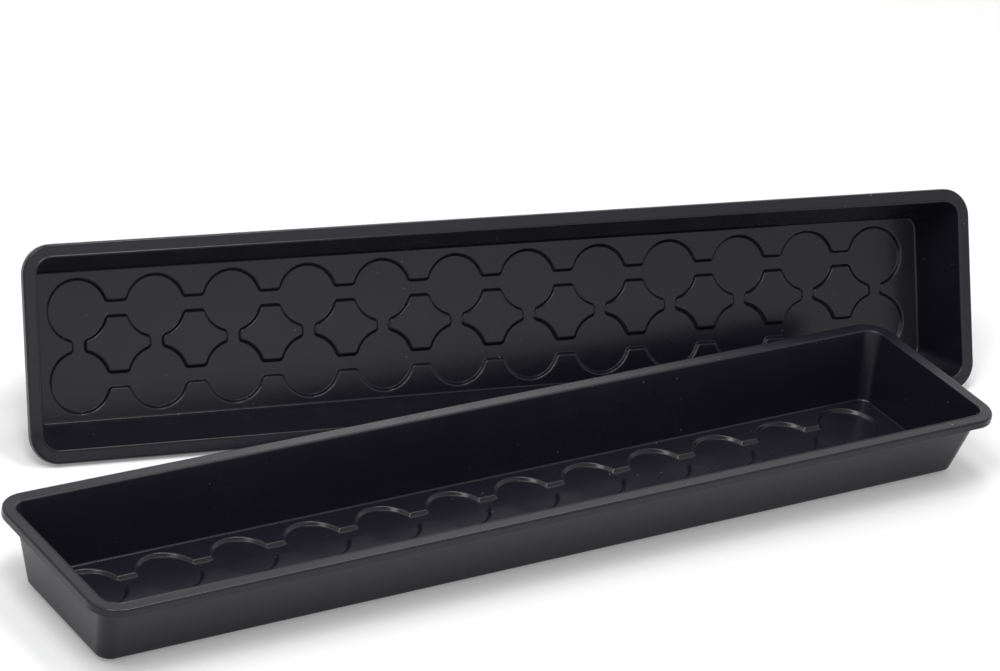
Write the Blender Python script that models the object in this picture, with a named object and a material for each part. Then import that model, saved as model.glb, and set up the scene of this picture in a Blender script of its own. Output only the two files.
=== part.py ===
"""A pair of long windowsill seed trays: one lies flat, and its twin stands on its long side behind it.

Each tray is one moulding of thin plastic sheet. Its floor has round recesses for pots, joined by short
channels, with raised four-pointed islands between them. The walls flare to a flat rim, which turns down
into a short skirt. Metres, +Z up, with the pair centred on the origin and standing on z = 0.
"""

import math

import bmesh
import bpy
from mathutils import Matrix, Vector

# Floor pattern
COLUMNS = 12
ROWS = 2
RECESS_DIAMETER = 0.0450
COLUMN_GAP = 0.0140
ROW_GAP = 0.0068
LONG_CHANNEL_WIDTH = 0.0110
CROSS_CHANNEL_WIDTH = 0.0096
CHANNEL_FILLET = 0.0030
RECESS_DEPTH = 0.0022
STEP_DRAFT = math.radians(24)

# Sheet, floor and walls
SHEET = 0.0016
END_MARGIN = 0.0140
SIDE_MARGIN = 0.0061
FLOOR_CORNER = 0.0090
FLOOR_FILLET = 0.0015
WALL_HEIGHT = 0.0523
SIDE_DRAFT = math.radians(14.5)
END_DRAFT = math.radians(10.0)
OPENING_CORNER = 0.0115

# Rim and its skirt
RIM_LAND = 0.0098
RIM_FILLET = 0.0012
RIM_EDGE_RADIUS = 0.0024
SKIRT_DROP = 0.0056
SKIRT_FLARE = math.radians(4)

# Standing tray: turned about the vertical, moved along its length, and clear of the lying tray's rim
STANDING_TURN = math.radians(-11)
STANDING_SHIFT = 0.0625
STANDING_GAP = 0.0020

# Facets
ARC_STEPS = 3
FILLET_STEPS = 2
CORNER_STEPS = 6
EDGE_STEPS = 3

# Worked out from the sizes above
RECESS_RADIUS = RECESS_DIAMETER / 2
COLUMN_PITCH = RECESS_DIAMETER + COLUMN_GAP
ROW_PITCH = RECESS_DIAMETER + ROW_GAP
RECESS_LEVEL = SHEET
LAND_LEVEL = SHEET + RECESS_DEPTH
RIM_LEVEL = LAND_LEVEL + WALL_HEIGHT
FLOOR_HALF_LENGTH = (COLUMNS - 1) * COLUMN_PITCH / 2 + RECESS_RADIUS + END_MARGIN
FLOOR_HALF_WIDTH = (ROWS - 1) * ROW_PITCH / 2 + RECESS_RADIUS + SIDE_MARGIN

EAST, NORTH, WEST, SOUTH = (0, 1), (1, 0), (0, -1), (-1, 0)
STEPS_ROUND = (EAST, NORTH, WEST, SOUTH)


def polar(centre, radius, angle):
    """The point at this angle on a circle."""
    return Vector((centre.x + radius * math.cos(angle), centre.y + radius * math.sin(angle)))


def arc(centre, radius, start, end, steps):
    """Points along an arc, with both of its ends."""
    return [polar(centre, radius, start + (end - start) * i / steps) for i in range(steps + 1)]


def recess_centre(cell):
    """The centre of the recess in this row and column."""
    row, column = cell
    return Vector(((column - (COLUMNS - 1) / 2) * COLUMN_PITCH, (row - (ROWS - 1) / 2) * ROW_PITCH))


def channels_of(cell):
    """The directions in which channels leave a recess, anticlockwise from east."""
    row, column = cell
    return [
        (down, across)
        for down, across in STEPS_ROUND
        if 0 <= row + down < ROWS and 0 <= column + across < COLUMNS
    ]


def channel_mouth(direction, offset):
    """Half the angle that a channel takes out of its recess, and the fillet's radius, at this offset."""
    fillet = CHANNEL_FILLET - offset
    width = LONG_CHANNEL_WIDTH if direction in (EAST, WEST) else CROSS_CHANNEL_WIDTH
    radius = RECESS_RADIUS + offset
    return math.asin((width / 2 + offset + fillet) / (radius + fillet)), fillet


def heading(direction):
    """The angle of a channel's direction, anticlockwise from east."""
    return math.radians(90) * STEPS_ROUND.index(direction)


def stretch(cell, start, offset):
    """The outline from one channel of a recess round to the next, and into the recess beyond it."""
    directions = channels_of(cell)
    end = directions[(directions.index(start) + 1) % len(directions)]
    centre = recess_centre(cell)
    radius = RECESS_RADIUS + offset
    turn = (heading(end) - heading(start)) % math.radians(360) or math.radians(360)
    steps = ARC_STEPS * round(turn / math.radians(90))
    start_mouth, _ = channel_mouth(start, offset)
    end_mouth, fillet = channel_mouth(end, offset)
    first = heading(start) + start_mouth
    last = heading(start) + turn - end_mouth
    points = arc(centre, radius, first, last, steps)[:-1]

    leaving = polar(centre, radius + fillet, last)
    quarter = math.radians(90)
    points += arc(leaving, fillet, last + math.pi, last + end_mouth + quarter, FILLET_STEPS)

    beyond = (cell[0] + end[0], cell[1] + end[1])
    back = last + end_mouth + math.pi
    arriving = polar(recess_centre(beyond), radius + fillet, back + end_mouth)
    points += arc(arriving, fillet, back - quarter, back + end_mouth - math.pi, FILLET_STEPS)[:-1]
    return points, beyond, (-end[0], -end[1])


def pattern_outlines(offset):
    """The outlines of the joined recesses, moved outwards by an offset: the outer one, then the islands."""
    starts = [((row, column), way) for row in range(ROWS) for column in range(COLUMNS)
              for way in channels_of((row, column))]
    outlines = []
    seen = set()
    for start in starts:
        if start in seen:
            continue
        points = []
        state = start
        while state not in seen:
            seen.add(state)
            more, cell, way = stretch(*state, offset)
            points += more
            state = (cell, way)
        outlines.append(points)
    return sorted(outlines, key=len, reverse=True)


def mitre(draft):
    """How far outwards, per sheet thickness, the underside turns a corner of this draft."""
    return math.tan(math.radians(45) - draft / 2)


def rounded(points, radii, steps):
    """A section's polyline from its first filleted corner to its end, each corner by its own radius."""
    result = []
    for before, corner, after, radius in zip(points, points[1:], points[2:], radii):
        into = (before - corner).normalized()
        out = (after - corner).normalized()
        half = into.angle(out) / 2
        centre = corner + (into + out).normalized() * radius / math.sin(half)
        first = corner + into * radius / math.tan(half)
        last = corner + out * radius / math.tan(half)
        sweep = (first - centre).angle_signed(last - centre)
        spoke = first - centre
        result += [centre + Matrix.Rotation(-sweep * i / steps, 2) @ spoke for i in range(steps + 1)]
    return result + [points[-1]]


def inner_section(half_width, draft):
    """The upper skin from the floor's land to the skirt's foot, as distances out and heights."""
    opening = half_width + WALL_HEIGHT * math.tan(draft)
    edge = opening + RIM_LAND
    foot = edge + SKIRT_DROP * math.tan(SKIRT_FLARE)
    points = [
        Vector((0, LAND_LEVEL)),
        Vector((half_width, LAND_LEVEL)),
        Vector((opening, RIM_LEVEL)),
        Vector((edge, RIM_LEVEL)),
        Vector((foot, RIM_LEVEL - SKIRT_DROP)),
    ]
    return rounded(points, (FLOOR_FILLET, RIM_FILLET, RIM_EDGE_RADIUS), EDGE_STEPS)


def outer_section(half_width, draft):
    """The lower skin from the floor's land to the skirt's foot, one sheet thickness away."""
    opening = half_width + WALL_HEIGHT * math.tan(draft)
    edge = opening + RIM_LAND
    foot = edge + SKIRT_DROP * math.tan(SKIRT_FLARE)
    wall_turn = SHEET * mitre(draft)
    points = [
        Vector((0, LAND_LEVEL - SHEET)),
        Vector((half_width + wall_turn, LAND_LEVEL - SHEET)),
        Vector((opening + wall_turn, RIM_LEVEL - SHEET)),
        Vector((edge - SHEET * mitre(SKIRT_FLARE), RIM_LEVEL - SHEET)),
        Vector((foot - SHEET / math.cos(SKIRT_FLARE), RIM_LEVEL - SKIRT_DROP)),
    ]
    radii = (FLOOR_FILLET + SHEET, RIM_FILLET + SHEET, RIM_EDGE_RADIUS - SHEET)
    return rounded(points, radii, EDGE_STEPS)


def rounded_rectangle(end, side, radius):
    """A ring round the tray through a point of its end's section and one of its side's."""
    ring = []
    for corner in range(4):
        sign_x = 1 if corner in (0, 3) else -1
        sign_y = 1 if corner in (0, 1) else -1
        for i in range(CORNER_STEPS + 1):
            angle = math.radians(90) * i / CORNER_STEPS
            if corner in (1, 3):
                angle = math.radians(90) - angle
            x = end.x - radius + radius * math.cos(angle)
            y = side.x - radius + radius * math.sin(angle)
            height = end.y + (side.y - end.y) * math.sin(angle) ** 2
            ring.append(Vector((sign_x * x, sign_y * y, height)))
    return ring


def wall_rings(section, thickness):
    """The rings of one skin, from the floor's land out over the rim to the skirt's foot."""
    ends = section(FLOOR_HALF_LENGTH, END_DRAFT)
    sides = section(FLOOR_HALF_WIDTH, SIDE_DRAFT)
    opening = FLOOR_HALF_WIDTH + WALL_HEIGHT * math.tan(SIDE_DRAFT)
    rings = []
    for end, side in zip(ends, sides):
        up = min(max((side.x - FLOOR_HALF_WIDTH) / (opening - FLOOR_HALF_WIDTH), 0), 1)
        radius = FLOOR_CORNER + (OPENING_CORNER - FLOOR_CORNER) * up + thickness
        radius += min(side.x - FLOOR_HALF_WIDTH, 0) + max(side.x - opening, 0)
        rings.append(rounded_rectangle(end, side, radius))
    return rings


def at_level(points, level):
    """A plan outline's points at this height."""
    return [Vector((p.x, p.y, level)) for p in points]


def add_ring(mesh, points):
    """Adds a closed ring of vertices and its edges, and returns both."""
    verts = [mesh.verts.new(p) for p in points]
    edges = [mesh.edges.new((a, b)) for a, b in zip(verts, verts[1:] + verts[:1])]
    return verts, edges


def join_rings(mesh, first, second):
    """Joins two rings of as many vertices by a band of quads."""
    for i in range(len(first)):
        mesh.faces.new((first[i - 1], first[i], second[i], second[i - 1]))


def add_skin(mesh, section, thickness, recess_level, land_level, turn):
    """Adds one side of the sheet, from the recesses to the skirt's foot, and returns the foot's ring."""
    half_step = RECESS_DEPTH * math.tan(STEP_DRAFT) / 2
    low = [add_ring(mesh, at_level(points, recess_level)) for points in pattern_outlines(turn - half_step)]
    high = [add_ring(mesh, at_level(points, land_level)) for points in pattern_outlines(turn + half_step)]
    for (low_ring, _), (high_ring, _) in zip(low, high):
        join_rings(mesh, low_ring, high_ring)
    for island, _ in high[1:]:
        mesh.faces.new(island)
    recess_edges = [edge for _, edges in low for edge in edges]
    bmesh.ops.triangle_fill(mesh, use_beauty=True, edges=recess_edges, normal=(0, 0, 1))

    rings = [add_ring(mesh, points) for points in wall_rings(section, thickness)]
    land_edges = high[0][1] + rings[0][1]
    bmesh.ops.triangle_fill(mesh, use_beauty=True, edges=land_edges, normal=(0, 0, 1))
    for (ring, _), (next_ring, _) in zip(rings, rings[1:]):
        join_rings(mesh, ring, next_ring)
    return rings[-1][0]


def make_tray_mesh():
    """One moulded tray in its own frame: its length along X, its feet on z = 0."""
    mesh = bmesh.new()
    upper_foot = add_skin(mesh, inner_section, 0, RECESS_LEVEL, LAND_LEVEL, 0)
    lower_foot = add_skin(
        mesh, outer_section, SHEET, RECESS_LEVEL - SHEET, LAND_LEVEL - SHEET, SHEET * mitre(STEP_DRAFT)
    )
    join_rings(mesh, upper_foot, lower_foot)
    bmesh.ops.recalc_face_normals(mesh, faces=mesh.faces)
    data = bpy.data.meshes.new("tray")
    mesh.to_mesh(data)
    mesh.free()
    data.shade_smooth()
    data.set_sharp_from_angle(angle=math.radians(30))
    return data


def rim_extent(direction):
    """How far the lying tray's rim reaches from its centre in a level direction."""
    foot = inner_section(FLOOR_HALF_LENGTH, END_DRAFT)[-1].x
    side = inner_section(FLOOR_HALF_WIDTH, SIDE_DRAFT)[-1].x
    opening = FLOOR_HALF_WIDTH + WALL_HEIGHT * math.tan(SIDE_DRAFT)
    corner = OPENING_CORNER + side - opening
    return (foot - corner) * abs(direction.x) + (side - corner) * abs(direction.y) + corner


def standing_place():
    """Where the second tray stands: on its skirt's foot and its floor's long edge, leaning back."""
    section = outer_section(FLOOR_HALF_WIDTH, SIDE_DRAFT)
    foot = inner_section(FLOOR_HALF_WIDTH, SIDE_DRAFT)[-1]
    lean = min(math.atan2(foot.x - p.x, foot.y - p.y) for p in section[1:-2] if p.y < foot.y - SHEET)
    height = foot.x * math.cos(lean) - foot.y * math.sin(lean)

    away = Vector((-math.sin(STANDING_TURN), math.cos(STANDING_TURN), 0))
    along = Vector((math.cos(STANDING_TURN), math.sin(STANDING_TURN), 0))
    skirt_level = RIM_LEVEL - SKIRT_DROP
    across = (skirt_level - height - RIM_LEVEL * math.sin(lean)) / math.cos(lean)
    front = across * math.sin(lean) - RIM_LEVEL * math.cos(lean)
    distance = rim_extent(away) + STANDING_GAP - front
    turned = Matrix.Rotation(STANDING_TURN, 4, "Z") @ Matrix.Rotation(math.radians(90) - lean, 4, "X")
    return Matrix.Translation(away * distance + along * STANDING_SHIFT + Vector((0, 0, height))) @ turned


def moulded_plastic(name, colour, roughness):
    """Charcoal-black moulded plastic with a satin face."""
    material = bpy.data.materials.new(name)
    material.use_nodes = True
    shader = material.node_tree.nodes["Principled BSDF"]
    shader.inputs["Base Color"].default_value = (*colour, 1)
    shader.inputs["Roughness"].default_value = roughness
    shader.inputs["Metallic"].default_value = 0
    return material


def add_tray(name, mesh, place):
    """Links a tray into the scene at its place, with its own finish."""
    tray = bpy.data.objects.new(name, mesh)
    tray.matrix_world = place
    bpy.context.scene.collection.objects.link(tray)
    return tray


def centre_pair(trays):
    """Moves both trays so that the box round the pair stands centred on the origin."""
    bpy.context.view_layer.update()
    points = [tray.matrix_world @ vert.co for tray in trays for vert in tray.data.vertices]
    low = [min(p[i] for p in points) for i in range(3)]
    high = [max(p[i] for p in points) for i in range(3)]
    shift = Vector((-(low[0] + high[0]) / 2, -(low[1] + high[1]) / 2, -low[2]))
    for tray in trays:
        tray.location += shift


def main():
    """Clears the scene and builds the pair of trays."""
    for old in list(bpy.data.objects):
        bpy.data.objects.remove(old, do_unlink=True)
    mesh = make_tray_mesh()
    lying = add_tray("lying_tray", mesh, Matrix.Identity(4))
    standing = add_tray("standing_tray", mesh.copy(), standing_place())
    lying.data.materials.append(moulded_plastic("lying_tray_plastic", (0.010, 0.010, 0.012), 0.35))
    standing.data.materials.append(moulded_plastic("standing_tray_plastic", (0.011, 0.011, 0.013), 0.35))
    centre_pair((lying, standing))


main()
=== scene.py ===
"""Studio scene of two black moulded seed trays, one lying flat and its twin standing on its long side."""

import logging
import math
from dataclasses import dataclass
from enum import Enum

import bmesh
import bpy
from mathutils import Matrix, Vector


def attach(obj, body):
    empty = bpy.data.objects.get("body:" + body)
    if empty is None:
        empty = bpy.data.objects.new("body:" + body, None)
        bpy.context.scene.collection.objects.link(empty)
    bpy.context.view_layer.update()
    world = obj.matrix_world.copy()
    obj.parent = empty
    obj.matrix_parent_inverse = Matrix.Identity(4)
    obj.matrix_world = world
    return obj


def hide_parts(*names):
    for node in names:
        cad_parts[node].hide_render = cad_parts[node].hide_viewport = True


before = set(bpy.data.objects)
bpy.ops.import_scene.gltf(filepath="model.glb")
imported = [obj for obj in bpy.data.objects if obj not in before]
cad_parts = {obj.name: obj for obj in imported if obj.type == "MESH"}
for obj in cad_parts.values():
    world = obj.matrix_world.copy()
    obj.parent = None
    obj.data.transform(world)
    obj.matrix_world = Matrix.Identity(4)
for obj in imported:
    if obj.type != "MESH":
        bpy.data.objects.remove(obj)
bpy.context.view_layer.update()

LOG = logging.getLogger("seed_trays")
QUARTER = math.radians(90)
WHOLE = math.radians(360)


class Wire:
    """A node's output with Python's operators, each of which adds a Math node."""

    def __init__(self, sheet: "NodeSheet", socket: bpy.types.NodeSocket) -> None:
        """Wraps a socket.

        Args:
            sheet: The node sheet that the socket belongs to.
            socket: The output socket.
        """
        self.sheet = sheet
        self.socket = socket

    def __add__(self, other: "Wire | float") -> "Wire":
        """This plus the other."""
        return self.sheet.maths("ADD", self, other)

    def __radd__(self, other: float) -> "Wire":
        """The other plus this."""
        return self.sheet.maths("ADD", other, self)

    def __sub__(self, other: "Wire | float") -> "Wire":
        """This less the other."""
        return self.sheet.maths("SUBTRACT", self, other)

    def __rsub__(self, other: float) -> "Wire":
        """The other less this."""
        return self.sheet.maths("SUBTRACT", other, self)

    def __mul__(self, other: "Wire | float") -> "Wire":
        """This times the other."""
        return self.sheet.maths("MULTIPLY", self, other)

    def __rmul__(self, other: float) -> "Wire":
        """The other times this."""
        return self.sheet.maths("MULTIPLY", other, self)

    def __gt__(self, other: "Wire | float") -> "Wire":
        """One where this is greater, else nought."""
        return self.sheet.maths("GREATER_THAN", self, other)

    def __lt__(self, other: "Wire | float") -> "Wire":
        """One where this is less, else nought."""
        return self.sheet.maths("LESS_THAN", self, other)

    def ramp(self, low: float, high: float) -> "Wire":
        """Nought up to low, one from high on, and smooth between them.

        Args:
            low: The value that gives nought.
            high: The value that gives one.

        Returns:
            The eased share.
        """
        made = self.sheet.node(
            "ShaderNodeMapRange",
            {"interpolation_type": "SMOOTHSTEP"},
            {"Value": self, "From Min": low, "From Max": high},
        )
        return Wire(self.sheet, made.outputs["Result"])


class NodeSheet:
    """A node tree under construction."""

    def __init__(self, tree: bpy.types.NodeTree) -> None:
        """Starts from an empty tree.

        Args:
            tree: The tree, whose nodes are cleared.
        """
        self.tree = tree
        tree.nodes.clear()

    def node(self, kind: str, settings: dict | None = None, inputs: dict | None = None) -> bpy.types.Node:
        """Makes one node.

        Args:
            kind: The node's type name.
            settings: Its properties, set before its sockets.
            inputs: Values or wires for its sockets, by name or number.

        Returns:
            The new node.
        """
        made = self.tree.nodes.new(kind)
        for name, value in (settings or {}).items():
            setattr(made, name, value)
        for name, value in (inputs or {}).items():
            if isinstance(value, Wire):
                value = value.socket
            if isinstance(value, bpy.types.NodeSocket):
                self.tree.links.new(value, made.inputs[name])
            else:
                made.inputs[name].default_value = value
        return made

    def maths(self, operation: str, first: "Wire | float", second: "Wire | float") -> Wire:
        """Adds a Math node on two values."""
        made = self.node("ShaderNodeMath", {"operation": operation}, {0: first, 1: second})
        return Wire(self, made.outputs[0])

    def wire(self, kind: str, output: str, settings: dict | None = None, inputs: dict | None = None) -> Wire:
        """Makes a node and wraps one of its outputs.

        Args:
            kind: The node's type name.
            output: The output's name.
            settings: The node's properties.
            inputs: Values or wires for its sockets.

        Returns:
            The wrapped output.
        """
        return Wire(self, self.node(kind, settings, inputs).outputs[output])

    def mixed(self, share: Wire, first: tuple | Wire, second: tuple | Wire) -> Wire:
        """A colour between two others.

        Args:
            share: How much of the second colour shows.
            first: The colour at nought.
            second: The colour at one.

        Returns:
            The mixed colour.
        """
        made = self.node(
            "ShaderNodeMix", {"data_type": "RGBA", "clamp_factor": True}, {0: share, 6: first, 7: second}
        )
        return Wire(self, made.outputs[2])


@dataclass(frozen=True)
class SatinPlastic:
    """Black polypropylene from a satin mould: fine grain, faint handling marks, scratches and dust.

    Scales are in waves a metre and heights in metres. A span gives the value at which a mark starts to
    show and the value at which it shows in full. Streaks are given by their angle from the tray's length
    and their scale across.
    """

    name: str
    colour: tuple[float, float, float] = (0.0074, 0.0066, 0.0120)
    refraction: float = 1.375
    roughness: float = 0.24
    grain_scale: float = 1600.0
    grain_height: float = 0.000006
    ripple_scale: float = 17.0
    ripple_height: float = 0.00012
    mottle_scale: float = 46.0
    mottle_roughness: float = 0.10
    smear_scale: float = 9.0
    smear_roughness: float = 0.12
    wear_scale: float = 21.0
    wear_span: tuple[float, float] = (0.50, 0.66)
    scratch_scale: float = 14.0
    scratch_span: tuple[float, float] = (0.66, 0.72)
    strong_streaks: tuple[float, float] = (math.radians(23), 900.0)
    faint_streaks: tuple[float, float] = (math.radians(-61), 1300.0)
    faint_share: float = 0.7
    scratch_roughness: float = 0.10
    scratch_depth: float = 0.000008
    scratch_haze: float = 0.008
    dust_colour: tuple[float, float, float] = (0.32, 0.31, 0.30)
    dust_cover: float = 0.85
    dust_roughness: float = 0.4
    speck_scale: float = 260.0
    speck_choice: float = 0.955
    speck_span: tuple[float, float] = (0.07, 0.15)
    patch_scale: float = 7.0
    patch_span: tuple[float, float] = (0.42, 0.62)
    upward_span: tuple[float, float] = (0.1, 0.9)
    film_span: tuple[float, float] = (0.4, 0.8)
    film_cover: float = 0.005
    seed: float = 0.0

    def streaks(self, sheet: NodeSheet, place: Wire, turn: float, across: float) -> Wire:
        """Thin parallel streaks in the sheet's own plane, as from sliding pots and other trays.

        Args:
            sheet: The material's node sheet.
            place: Object coordinates.
            turn: The streaks' angle from the tray's length.
            across: How fine they are, in waves a metre.

        Returns:
            One along a few streaks, nought elsewhere.
        """
        mapped = sheet.wire(
            "ShaderNodeMapping",
            "Vector",
            {"vector_type": "TEXTURE"},
            {
                "Vector": place,
                "Location": (self.seed, 0.3 * self.seed, 0.0),
                "Rotation": (0.0, 0.0, turn),
                "Scale": (1 / self.scratch_scale, 1 / across, 1 / across),
            },
        )
        inputs = {"Vector": mapped, "Scale": 1.0, "Detail": 2.0}
        return sheet.wire("ShaderNodeTexNoise", "Fac", None, inputs).ramp(*self.scratch_span)

    def make(self) -> bpy.types.Material:
        """Builds the material.

        Returns:
            The finished material.
        """
        material = bpy.data.materials.new(self.name)
        material.use_nodes = True
        sheet = NodeSheet(material.node_tree)
        place = sheet.wire("ShaderNodeTexCoord", "Object")
        normal = sheet.wire("ShaderNodeNewGeometry", "Normal")
        upward = sheet.wire("ShaderNodeSeparateXYZ", "Z", None, {0: normal})

        def noise(scale: float, detail: float, roughness: float = 0.5) -> Wire:
            """Fractal noise of this scale."""
            return sheet.wire(
                "ShaderNodeTexNoise",
                "Fac",
                None,
                {"Vector": place, "Scale": scale, "Detail": detail, "Roughness": roughness},
            )

        grain = noise(self.grain_scale, detail=2.0)
        mottle = noise(self.mottle_scale + self.seed, detail=5.0, roughness=0.62)
        smears = noise(self.smear_scale + self.seed, detail=3.0, roughness=0.55)
        ripple = noise(self.ripple_scale + self.seed, detail=1.0)
        worn = noise(self.wear_scale - self.seed, detail=2.0).ramp(*self.wear_span)
        strong = self.streaks(sheet, place, *self.strong_streaks)
        faint = self.streaks(sheet, place, *self.faint_streaks)
        scratches = worn * (strong + faint * self.faint_share)

        # Dust specks lie in a few patches and show more on what faces up, where a thin film settles too
        cells = sheet.node("ShaderNodeTexVoronoi", None, {"Vector": place, "Scale": self.speck_scale})
        lot = sheet.wire("ShaderNodeSeparateColor", "Red", None, {0: cells.outputs["Color"]})
        outside = Wire(sheet, cells.outputs["Distance"]).ramp(*self.speck_span)
        speck = (lot > self.speck_choice) * (1.0 - outside)
        patches = noise(self.patch_scale + self.seed, detail=2.0).ramp(*self.patch_span)
        settled = upward.ramp(*self.upward_span)
        dust = speck * patches * (settled * 0.5 + 0.5) * self.dust_cover
        film = settled * patches * mottle.ramp(*self.film_span) * self.film_cover

        haze = film + scratches * self.scratch_haze
        colour = sheet.mixed(haze, (*self.colour, 1.0), (*self.dust_colour, 1.0))
        colour = sheet.mixed(dust, colour, (*self.dust_colour, 1.0))
        uneven = (mottle - 0.5) * self.mottle_roughness + (smears - 0.5) * self.smear_roughness
        roughness = self.roughness + uneven + scratches * self.scratch_roughness + dust * self.dust_roughness
        height = grain * self.grain_height + ripple * self.ripple_height - scratches * self.scratch_depth
        bump = sheet.node("ShaderNodeBump", None, {"Strength": 1.0, "Distance": 1.0, "Height": height})
        shader = sheet.node(
            "ShaderNodeBsdfPrincipled",
            None,
            {
                "Base Color": colour,
                "Roughness": roughness,
                "Normal": bump.outputs["Normal"],
                "IOR": self.refraction,
            },
        )
        sheet.node("ShaderNodeOutputMaterial", None, {"Surface": shader.outputs[0]})
        return material


class Heading(Enum):
    """The four ways in which a channel can leave a recess, as steps in row and column."""

    EAST = (0, 1)
    NORTH = (1, 0)
    WEST = (0, -1)
    SOUTH = (-1, 0)

    @property
    def angle(self) -> float:
        """Its angle from the tray's length, anticlockwise."""
        return QUARTER * list(Heading).index(self)

    @property
    def opposite(self) -> "Heading":
        """The way back."""
        return list(Heading)[(list(Heading).index(self) + 2) % 4]


Cell = tuple[int, int]


@dataclass(frozen=True)
class RecessPattern:
    """The floor's round recesses and the short channels that join them."""

    columns: int = 12
    rows: int = 2
    recess_diameter: float = 0.0450
    column_pitch: float = 0.0590
    row_pitch: float = 0.0518
    long_channel_width: float = 0.0110
    cross_channel_width: float = 0.0096
    channel_fillet: float = 0.0030
    depth: float = 0.0022
    draft: float = math.radians(41)
    shoulder_radius: float = 0.0018
    foot_radius: float = 0.0007
    flat_border: float = 0.0004
    quarter_steps: int = 12
    fillet_steps: int = 5
    round_steps: int = 4

    def centre(self, cell: Cell) -> Vector:
        """The middle of the recess in this row and column."""
        steps = (cell[1] - (self.columns - 1) / 2, cell[0] - (self.rows - 1) / 2)
        return Vector((steps[0] * self.column_pitch, steps[1] * self.row_pitch))

    def cells(self) -> list[Cell]:
        """Every recess, row by row."""
        return [(row, column) for row in range(self.rows) for column in range(self.columns)]

    def channels_of(self, cell: Cell) -> list[Heading]:
        """The ways in which channels leave a recess, anticlockwise."""
        row, column = cell
        return [
            way
            for way in Heading
            if 0 <= row + way.value[0] < self.rows and 0 <= column + way.value[1] < self.columns
        ]

    @property
    def top_offset(self) -> float:
        """How far outside the nominal outline the step's shoulder starts.

        Returns:
            The distance, with the shoulder's flat border.
        """
        half_turn = (QUARTER - self.draft) / 2
        half_step = self.depth * math.tan(self.draft) / 2
        return half_step + self.shoulder_radius * math.tan(half_turn) + self.flat_border

    def step_profile(self) -> list[tuple[float, float]]:
        """The step from the land down to the recess floor.

        Returns:
            Pairs of a distance inwards and a drop, from the land to the recess.
        """
        steep = QUARTER - self.draft
        angles = [steep * i / self.round_steps for i in range(self.round_steps + 1)]
        turns = list(zip(angles, angles[1:]))

        def bend(radius: float) -> list[tuple[float, float]]:
            """The rounded part's runs and drops, from level to steep."""
            return [
                (radius * (math.sin(b) - math.sin(a)), radius * (math.cos(a) - math.cos(b)))
                for a, b in turns
            ]

        shoulder = bend(self.shoulder_radius)
        foot = bend(self.foot_radius)[::-1]
        drop = self.depth - sum(d for _, d in shoulder + foot)
        slope = (drop * math.tan(self.draft), drop)
        return [(self.flat_border, 0.0), *shoulder, slope, *foot, (self.flat_border, 0.0)]

    def mouth(self, way: Heading) -> float:
        """The room that a channel and its fillets take out of a recess.

        Args:
            way: The channel's heading from the recess.

        Returns:
            Half the angle that they take, seen from the recess's middle.
        """
        lengthwise = way in (Heading.EAST, Heading.WEST)
        width = self.long_channel_width if lengthwise else self.cross_channel_width
        fillet = self.channel_fillet
        return math.asin((width / 2 + fillet) / (self.recess_diameter / 2 + fillet))

    def draw(self, mesh: bmesh.types.BMesh, height: float) -> list[list[bmesh.types.BMEdge]]:
        """Draws the outlines of the joined recesses at the top of their step.

        Args:
            mesh: The mesh to draw in, still empty.
            height: The outlines' height.

        Returns:
            The edges of each outline, with the outer one last.
        """
        offset = self.top_offset
        radius = self.recess_diameter / 2 + offset
        fillet = self.channel_fillet - offset
        tips: dict[tuple[Cell, Heading, bool], bmesh.types.BMVert] = {}
        for cell in self.cells():
            centre = self.centre(cell).to_3d() + Vector((0.0, 0.0, height))
            ways = self.channels_of(cell)
            for way, following in zip(ways, ways[1:] + ways[:1]):
                turn = (following.angle - way.angle) % WHOLE or WHOLE
                start = way.angle + self.mouth(way)
                end = way.angle + turn - self.mouth(following)
                first = mesh.verts.new(centre + spoke(start, radius))
                steps = self.quarter_steps * round(turn / QUARTER)
                last = swept(mesh, first, centre, end - start, steps)
                leaving = centre + spoke(end, radius + fillet)
                tips[cell, following, False] = swept(
                    mesh, last, leaving, self.mouth(following) - QUARTER, self.fillet_steps
                )
                arriving = centre + spoke(start, radius + fillet)
                tips[cell, way, True] = swept(
                    mesh, first, arriving, QUARTER - self.mouth(way), self.fillet_steps
                )
        for (cell, way, after), tip in tips.items():
            if after:
                beyond = (cell[0] + way.value[0], cell[1] + way.value[1])
                mesh.edges.new((tip, tips[beyond, way.opposite, False]))
        return sorted(connected(list(mesh.edges)), key=len)

    def outward(self, vert: bmesh.types.BMVert) -> Vector:
        """The level direction in which an outline grows at one of its vertices.

        Args:
            vert: A vertex with the outline's two edges and no others.

        Returns:
            A unit vector, away from the recess.
        """
        first, second = (edge.other_vert(vert).co - vert.co for edge in vert.link_edges)
        along = (first.normalized() - second.normalized()).normalized()
        across = Vector((along.y, -along.x, 0.0))
        level = vert.co.xy
        centres = (self.centre(cell) for cell in self.cells())
        nearest = min(centres, key=lambda centre: (centre - level).length)
        return across if across.xy.dot(level - nearest) > 0 else -across

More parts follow.
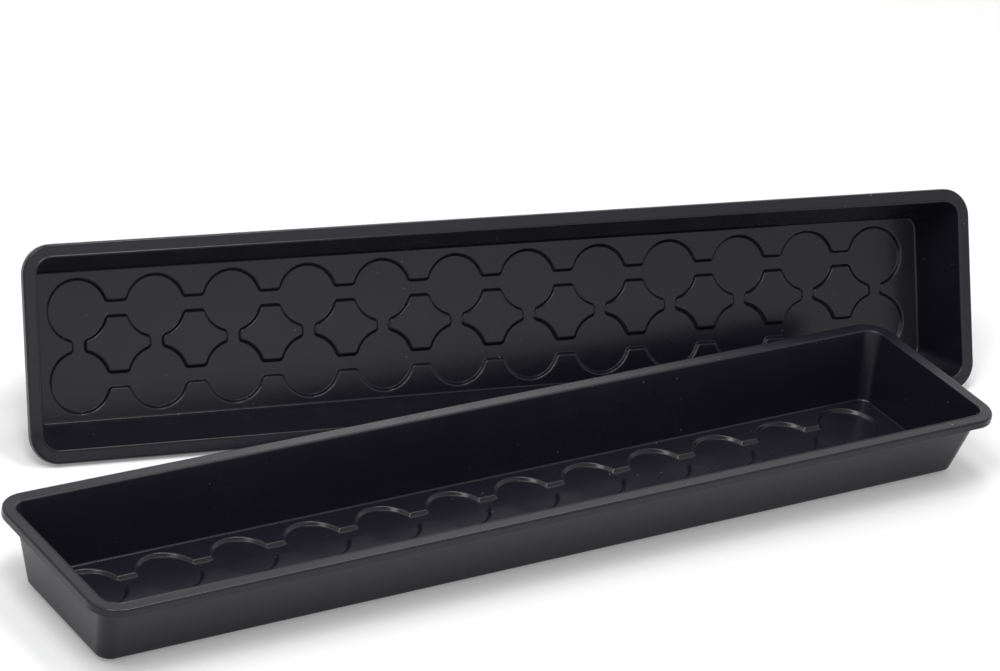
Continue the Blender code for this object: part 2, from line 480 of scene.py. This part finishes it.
    def press(self, mesh: bmesh.types.BMesh, land: float) -> list[bmesh.types.BMEdge]:
        """Makes the recesses: their rounded steps, their floors and the islands between them.

        Args:
            mesh: The mesh to draw in, still empty.
            land: The height of the floor between the recesses.

        Returns:
            The outer outline's edges at the top of the step.
        """
        outlines = self.draw(mesh, land)
        ring = [edge for outline in outlines for edge in outline]
        growth = {vert: self.outward(vert) for vert in mesh.verts}
        for run, drop in self.step_profile():
            drawn = bmesh.ops.extrude_edge_only(mesh, edges=ring)["geom"]
            lower = {vert for vert in drawn if isinstance(vert, bmesh.types.BMVert)}
            edges = [edge for edge in drawn if isinstance(edge, bmesh.types.BMEdge)]
            ring = [edge for edge in edges if edge.verts[0] in lower and edge.verts[1] in lower]
            for vert in lower:
                linked = (edge.other_vert(vert) for edge in vert.link_edges)
                growth[vert] = next(growth[other] for other in linked if other not in lower)
                vert.co += growth[vert] * -run + Vector((0.0, 0.0, -drop))
        bmesh.ops.triangle_fill(mesh, use_beauty=True, edges=ring, normal=(0.0, 0.0, 1.0))
        for island in outlines[:-1]:
            bmesh.ops.edgeloop_fill(mesh, edges=island)
        return outlines[-1]


@dataclass(frozen=True)
class Ring:
    """One outline of the wall: a rectangle with round corners, level or tipped across the tray."""

    half_length: float
    half_width: float
    corner: float
    level: float
    rise: float = 0.0

    def height_at(self, across: float, side: int) -> float:
        """The height this far across the tray: the level, and the whole rise at the given long side."""
        return self.level + self.rise * (1 + side * across / self.half_width) / 2

    def draw(
        self, mesh: bmesh.types.BMesh, height: float, corner_steps: int, long_cuts: int, short_cuts: int
    ) -> list[bmesh.types.BMEdge]:
        """Draws the ring.

        Args:
            mesh: The mesh to draw in.
            height: The height to draw it at.
            corner_steps: Edges in each round corner.
            long_cuts: Cuts in each long side.
            short_cuts: Cuts in each short side.

        Returns:
            The ring's edges.
        """
        before = set(mesh.edges)
        corners = [
            mesh.verts.new((x * self.half_length, y * self.half_width, height))
            for x, y in ((-1, -1), (1, -1), (1, 1), (-1, 1))
        ]
        for first, second in zip(corners, corners[1:] + corners[:1]):
            mesh.edges.new((first, second))
        bmesh.ops.bevel(
            mesh,
            geom=corners,
            offset=self.corner,
            offset_type="OFFSET",
            segments=corner_steps,
            profile=0.5,
            affect="VERTICES",
            material=-1,
        )
        sides = sorted((set(mesh.edges) - before), key=lambda edge: edge.calc_length())[-4:]
        bmesh.ops.subdivide_edges(mesh, edges=sides[:2], cuts=short_cuts)
        bmesh.ops.subdivide_edges(mesh, edges=sides[2:], cuts=long_cuts)
        return [edge for edge in mesh.edges if edge not in before]


class Place(Enum):
    """The two trays, by the node of the model that each stands for."""

    LYING = "lying_tray"
    STANDING = "standing_tray"


@dataclass
class SeedTray:
    """One moulding: floor, flared walls, rim with a fine bead and turned-down skirt, in a single sheet.

    The rim is flat along one long side and tipped a little along the other, which rim_side names by its
    sign along the tray's own Y. Along the ends it turns from one to the other.
    """

    place: Place
    frame_matrix: Matrix
    finish: SatinPlastic
    pattern: RecessPattern = RecessPattern()
    sheet: float = 0.0016
    floor_half_length: float = 0.3610
    floor_half_width: float = 0.0545
    floor_corner: float = 0.0090
    floor_fillet: float = 0.0015
    land_border: float = 0.0022
    wall_height: float = 0.0523
    side_draft: float = math.radians(14.5)
    end_draft: float = math.radians(10.0)
    opening_corner: float = 0.0115
    rim_land: float = 0.0098
    rim_fillet: float = 0.0010
    bead_height: float = 0.00035
    bead_crest: float = 0.0011
    bead_foot: float = 0.0017
    bead_radius: float = 0.0006
    rim_edge_radius: float = 0.0018
    rim_rise: float = 0.0014
    rim_side: int = 1
    skirt_drop: float = 0.0056
    skirt_flare: float = math.radians(1)
    corner_steps: int = 10
    fold_steps: int = 5
    long_cuts: int = 35
    short_cuts: int = 5
    cut_edge_width: float = 0.0004
    cut_edge_steps: int = 2
    cut_edge_angle: float = math.radians(60)

    @property
    def land_level(self) -> float:
        """The height of the floor between the recesses."""
        return self.sheet + self.pattern.depth

    @property
    def rim_level(self) -> float:
        """The height of the rim."""
        return self.land_level + self.wall_height

    def rings(self) -> list[Ring]:
        """The upper skin's folds.

        Returns:
            The land's border, the foot of the wall, the opening, the bead's crest and its foot, the rim's
            outer edge and the skirt's foot.
        """
        end_out = self.wall_height * math.tan(self.end_draft)
        side_out = self.wall_height * math.tan(self.side_draft)
        skirt_out = self.rim_land + self.skirt_drop * math.tan(self.skirt_flare)

        def floor_ring(out: float) -> Ring:
            """A ring this far outside the foot of the wall, level with the land."""
            half_width = self.floor_half_width + out
            return Ring(self.floor_half_length + out, half_width, self.floor_corner + out, self.land_level)

        def top_ring(out: float, lift: float, rise: float) -> Ring:
            """A ring this far outside the opening and this far above the rim's level."""
            half_length = self.floor_half_length + end_out + out
            half_width = self.floor_half_width + side_out + out
            return Ring(half_length, half_width, self.opening_corner + out, self.rim_level + lift, rise)

        def rim_ring(out: float, lift: float = 0.0) -> Ring:
            """A ring of the rim, with the tip that its long side has there."""
            return top_ring(out, lift, self.rim_rise * (out / self.rim_land - 0.5))

        return [
            floor_ring(-self.land_border),
            floor_ring(0.0),
            rim_ring(0.0, self.bead_height),
            rim_ring(self.bead_crest, self.bead_height),
            rim_ring(self.bead_foot),
            rim_ring(self.rim_land),
            top_ring(skirt_out, -self.skirt_drop, 0.0),
        ]

    def bends(self) -> list[tuple[float, float]]:
        """How the sheet bends at each fold between the land's border and the skirt's foot.

        Returns:
            Pairs of a radius and the angle that the sheet turns through.
        """
        wall_turn = QUARTER - self.side_draft
        bead_turn = math.atan2(self.bead_height, self.bead_foot - self.bead_crest)
        return [
            (self.floor_fillet, wall_turn),
            (self.rim_fillet, wall_turn),
            (self.bead_radius, bead_turn),
            (self.bead_radius, bead_turn),
            (self.rim_edge_radius, QUARTER - self.skirt_flare),
        ]

    def raise_wall(
        self, mesh: bmesh.types.BMesh
    ) -> tuple[list[list[bmesh.types.BMEdge]], list[set[bmesh.types.BMVert]]]:
        """Joins the rings to a wall and a rim, with sharp folds.

        The rings are joined well apart in height, which pairs their points the right way, and then brought
        to their own heights.

        Args:
            mesh: The tray's mesh.

        Returns:
            Every ring's edges, and every ring's vertices.
        """
        sizes = self.rings()
        rings = [
            size.draw(mesh, self.rim_level * i, self.corner_steps, self.long_cuts, self.short_cuts)
            for i, size in enumerate(sizes)
        ]
        for ring, following in zip(rings, rings[1:]):
            bmesh.ops.bridge_loops(mesh, edges=ring + following)
        folds = [{vert for edge in ring for vert in edge.verts} for ring in rings]
        for size, verts in zip(sizes, folds):
            for vert in verts:
                vert.co.z = size.height_at(vert.co.y, self.rim_side)
        return rings, folds

    def fold(
        self, mesh: bmesh.types.BMesh, verts: set[bmesh.types.BMVert], radius: float, turn: float
    ) -> None:
        """Rounds one fold of the sheet.

        Args:
            mesh: The tray's mesh.
            verts: The fold's vertices.
            radius: The radius to give it.
            turn: The angle that the sheet turns through there.
        """
        edges = [edge for edge in mesh.edges if edge.verts[0] in verts and edge.verts[1] in verts]
        bmesh.ops.bevel(
            mesh,
            geom=edges,
            offset=radius * math.tan(turn / 2),
            offset_type="OFFSET",
            segments=self.fold_steps,
            profile=0.5,
            affect="EDGES",
            clamp_overlap=True,
            material=-1,
        )

    def build(self) -> bpy.types.Object:
        """Makes the tray's mesh in its place.

        Returns:
            The tray's object, linked and placed through its mesh.
        """
        mesh = bmesh.new()
        border = self.pattern.press(mesh, self.land_level)
        rings, folds = self.raise_wall(mesh)
        bmesh.ops.triangle_fill(mesh, use_beauty=True, edges=border + rings[0], normal=(0.0, 0.0, 1.0))
        for verts, (radius, turn) in zip(folds[1:], self.bends()):
            self.fold(mesh, verts, radius, turn)
        bmesh.ops.recalc_face_normals(mesh, faces=mesh.faces)
        if sum(face.normal.z * face.calc_area() for face in mesh.faces) < 0:
            bmesh.ops.reverse_faces(mesh, faces=mesh.faces)
        for face in mesh.faces:
            face.smooth = True
        bmesh.ops.transform(mesh, matrix=self.frame_matrix, verts=mesh.verts)
        data = bpy.data.meshes.new(f"{self.place.value}_moulding")
        mesh.to_mesh(data)
        mesh.free()
        tray = bpy.data.objects.new(data.name, data)
        bpy.context.scene.collection.objects.link(tray)
        return tray

    def dress(self, tray: bpy.types.Object) -> None:
        """Gives the sheet its thickness and finish, and ties the tray to its node.

        Args:
            tray: The tray's object.
        """
        wall = tray.modifiers.new("sheet", "SOLIDIFY")
        wall.thickness = self.sheet
        wall.offset = -1.0
        wall.use_even_offset = False
        edge = tray.modifiers.new("cut edge", "BEVEL")
        edge.width = self.cut_edge_width
        edge.segments = self.cut_edge_steps
        edge.limit_method = "ANGLE"
        edge.angle_limit = self.cut_edge_angle
        tray.modifiers.new("flats", "WEIGHTED_NORMAL")
        tray.data.materials.append(self.finish.make())
        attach(tray, f"{self.place.value}_body")
        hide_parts(self.place.value)


def grey(level: float) -> tuple[float, float, float, float]:
    """An opaque grey of this level, white at one."""
    return (level, level, level, 1.0)


def spoke(angle: float, length: float) -> Vector:
    """A level vector of this length at this angle."""
    return Vector((math.cos(angle), math.sin(angle), 0.0)) * length


def swept(
    mesh: bmesh.types.BMesh, vert: bmesh.types.BMVert, centre: Vector, angle: float, steps: int
) -> bmesh.types.BMVert:
    """Draws an arc from a vertex round a centre.

    Args:
        mesh: The mesh to draw in.
        vert: The arc's first vertex.
        centre: The arc's centre.
        angle: The angle to turn through, anticlockwise.
        steps: The number of edges.

    Returns:
        The arc's last vertex.
    """
    spun = bmesh.ops.spin(mesh, geom=[vert], cent=centre, axis=(0.0, 0.0, 1.0), angle=angle, steps=steps)
    return spun["geom_last"][0]


def connected(edges: list[bmesh.types.BMEdge]) -> list[list[bmesh.types.BMEdge]]:
    """Sorts edges into closed loops.

    Args:
        edges: The edges of several separate loops.

    Returns:
        One list of edges for each loop.
    """
    left = set(edges)
    loops = []
    while left:
        loop = []
        front = [left.pop()]
        while front:
            edge = front.pop()
            loop.append(edge)
            for vert in edge.verts:
                for other in vert.link_edges:
                    if other in left:
                        left.remove(other)
                        front.append(other)
        loops.append(loop)
    return loops


@dataclass(frozen=True)
class PhotoCamera:
    """The camera, where the photograph's was."""

    lens: float = 153.25
    sensor_width: float = 36.0
    azimuth: float = math.radians(37.55)
    elevation: float = math.radians(27.82)
    roll: float = math.radians(8.91)
    distance: float = 3.271
    target: tuple[float, float, float] = (0.1024, 0.1379, 0.0)

    def build(self) -> bpy.types.Object:
        """Makes the camera and sets it as the scene's.

        Returns:
            The camera's object.
        """
        ahead = Vector(
            (
                math.sin(self.azimuth) * math.cos(self.elevation),
                math.cos(self.azimuth) * math.cos(self.elevation),
                -math.sin(self.elevation),
            )
        )
        right = Vector((math.cos(self.azimuth), -math.sin(self.azimuth), 0.0))
        up = right.cross(ahead)
        side = right * math.cos(self.roll) + up * math.sin(self.roll)
        top = up * math.cos(self.roll) - right * math.sin(self.roll)
        data = bpy.data.cameras.new("camera")
        data.lens = self.lens
        data.sensor_width = self.sensor_width
        data.sensor_fit = "HORIZONTAL"
        data.dof.use_dof = False
        camera = bpy.data.objects.new("camera", data)
        turn = Matrix((side, top, -ahead)).transposed().to_4x4()
        camera.matrix_world = Matrix.Translation(Vector(self.target) - ahead * self.distance) @ turn
        bpy.context.scene.collection.objects.link(camera)
        bpy.context.scene.camera = camera
        return camera


@dataclass(frozen=True)
class Softbox:
    """A large rectangular lamp, aimed at the trays."""

    name: str
    place: tuple[float, float, float]
    aim: tuple[float, float, float]
    width: float
    height: float
    power: float

    def build(self) -> bpy.types.Object:
        """Makes the lamp and turns it to its aim.

        Returns:
            The lamp's object.
        """
        data = bpy.data.lights.new(self.name, "AREA")
        data.shape = "RECTANGLE"
        data.size = self.width
        data.size_y = self.height
        data.energy = self.power
        lamp = bpy.data.objects.new(self.name, data)
        lamp.location = self.place
        beam = Vector(self.aim) - Vector(self.place)
        lamp.rotation_euler = beam.to_track_quat("-Z", "Y").to_euler()
        bpy.context.scene.collection.objects.link(lamp)
        return lamp


@dataclass(frozen=True)
class Studio:
    """White floor, a white sweep all round, a dimmer ceiling above it and five softboxes.

    The plain values light the trays, and the shown ones are what the camera and the gloss see.
    """

    floor_colour: float = 0.88
    floor_shown: float = 0.80
    floor_glow: float = 0.17
    floor_reach: float = 5.0
    floor_drop: float = 0.0003
    sweep_level: float = 0.72
    sweep_top: float = math.radians(45)
    ceiling_level: float = 0.16
    ceiling_shown: float = 0.45
    ceiling_foot: float = math.radians(53)

    def seen_rays(self, sheet: NodeSheet) -> Wire:
        """Tells the rays that show the studio from those that light it.

        Args:
            sheet: The node sheet of the floor or the room.

        Returns:
            One for the camera's rays and for those of gloss and glass, nought for the light's.
        """
        path = sheet.node("ShaderNodeLightPath")
        kinds = ("Is Camera Ray", "Is Glossy Ray", "Is Transmission Ray")
        camera, gloss, glass = (Wire(sheet, path.outputs[kind]) for kind in kinds)
        return camera + gloss + glass

    def paper(self, name: str) -> bpy.types.Material:
        """White studio paper, shown a little whiter than it lights the trays.

        Args:
            name: The material's name.

        Returns:
            The finished material.
        """
        material = bpy.data.materials.new(name)
        material.use_nodes = True
        sheet = NodeSheet(material.node_tree)
        seen = self.seen_rays(sheet)
        plain = sheet.node("ShaderNodeBsdfDiffuse", None, {"Color": grey(self.floor_colour)})
        dimmed = sheet.node("ShaderNodeBsdfDiffuse", None, {"Color": grey(self.floor_shown)})
        glow = sheet.node("ShaderNodeEmission", None, {"Strength": self.floor_glow})
        shown = sheet.node("ShaderNodeAddShader", None, {0: dimmed.outputs[0], 1: glow.outputs[0]})
        shaders = {0: seen, 1: plain.outputs[0], 2: shown.outputs[0]}
        both = sheet.node("ShaderNodeMixShader", None, shaders)
        sheet.node("ShaderNodeOutputMaterial", None, {"Surface": both.outputs[0]})
        return material

    def floor(self) -> bpy.types.Object:
        """The floor that the trays stand on, a hair below them.

        Returns:
            The floor's object.
        """
        mesh = bmesh.new()
        bmesh.ops.create_grid(mesh, x_segments=1, y_segments=1, size=self.floor_reach)
        bmesh.ops.translate(mesh, vec=(0.0, 0.0, -self.floor_drop), verts=mesh.verts)
        data = bpy.data.meshes.new("floor")
        mesh.to_mesh(data)
        mesh.free()
        data.materials.append(self.paper("floor_paper"))
        floor = bpy.data.objects.new("floor", data)
        bpy.context.scene.collection.objects.link(floor)
        return floor

    def room(self) -> None:
        """White to the camera. In gloss and for the light, pale up to the sweep's top and dimmer above."""
        world = bpy.data.worlds.new("room")
        world.use_nodes = True
        sheet = NodeSheet(world.node_tree)
        seen = self.seen_rays(sheet)
        way = sheet.wire("ShaderNodeTexCoord", "Generated")
        height = sheet.wire("ShaderNodeSeparateXYZ", "Z", None, {0: way})
        above = height.ramp(math.sin(self.sweep_top), math.sin(self.ceiling_foot))
        camera = sheet.wire("ShaderNodeLightPath", "Is Camera Ray")
        sweep = sheet.mixed(seen, grey(self.sweep_level), grey(1.0))
        ceiling = sheet.mixed(seen, grey(self.ceiling_level), grey(self.ceiling_shown))
        colour = sheet.mixed(camera, sheet.mixed(above, sweep, ceiling), grey(1.0))
        backdrop = sheet.node("ShaderNodeBackground", None, {"Color": colour, "Strength": 1.0})
        sheet.node("ShaderNodeOutputWorld", None, {"Surface": backdrop.outputs[0]})
        bpy.context.scene.world = world

    def lamps(self) -> list[bpy.types.Object]:
        """The lamps over the trays and in front of them.

        Returns:
            The lamps' objects.
        """
        boxes = (
            Softbox("key_softbox", (0.20, -0.06, 1.65), (0.05, 0.0, 0.0), 0.60, 0.46, 8.5),
            Softbox("overhead_softbox", (-0.70, -0.48, 1.60), (-0.1, 0.0, 0.0), 0.50, 0.90, 13.0),
            Softbox("left_softbox", (-0.90, 0.40, 1.60), (0.2, 0.05, 0.1), 0.80, 0.85, 4.0),
            Softbox("front_softbox", (0.20, -2.20, 0.95), (0.0, 0.1, 0.1), 1.00, 0.80, 1.0),
            Softbox("back_softbox", (0.98, 0.80, 1.67), (0.1, 0.0, 0.0), 0.90, 0.90, 6.5),
        )
        return [box.build() for box in boxes]

    def build(self) -> None:
        """Sets up floor, surroundings and lamps."""
        self.floor()
        self.room()
        self.lamps()


@dataclass(frozen=True)
class PairOfTrays:
    """Where each tray of the pair is."""

    lying_centre: tuple[float, float, float] = (-0.045088, -0.101575, 0.0)
    standing_turn: float = math.radians(-11)
    standing_lean: float = math.radians(25.44713)
    standing_place: tuple[float, float, float] = (0.056144, 0.091665, 0.04893)

    def lying(self) -> Matrix:
        """The lying tray's place."""
        return Matrix.Translation(self.lying_centre)

    def standing(self) -> Matrix:
        """The standing tray's place: tipped up on its long side, leaning back and turned a little.

        Returns:
            The matrix that brings the tray there.
        """
        turn = Matrix.Rotation(self.standing_turn, 4, "Z")
        tip = Matrix.Rotation(QUARTER - self.standing_lean, 4, "X")
        return Matrix.Translation(self.standing_place) @ turn @ tip

    def build(self) -> None:
        """Builds and dresses both trays."""
        lying_finish = SatinPlastic("lying_tray_plastic", seed=1.3)
        standing_finish = SatinPlastic("standing_tray_plastic", seed=4.1)
        trays = (
            SeedTray(Place.LYING, self.lying(), lying_finish),
            SeedTray(Place.STANDING, self.standing(), standing_finish, rim_side=-1),
        )
        for tray in trays:
            piece = tray.build()
            tray.dress(piece)
            LOG.info("%s: %d faces", piece.name, len(piece.data.polygons))


def write_sizes() -> None:
    """Brings the scene's placements up to date."""
    bpy.context.view_layer.update()


def main() -> None:
    """Builds the scene from the camera to the trays."""
    logging.basicConfig(level=logging.INFO, format="%(message)s")
    bpy.context.scene.view_settings.view_transform = "Standard"
    PhotoCamera().build()
    LOG.info("camera placed")
    Studio().build()
    LOG.info("studio lit")
    PairOfTrays().build()
    write_sizes()


if __name__ == "__main__":
    main()
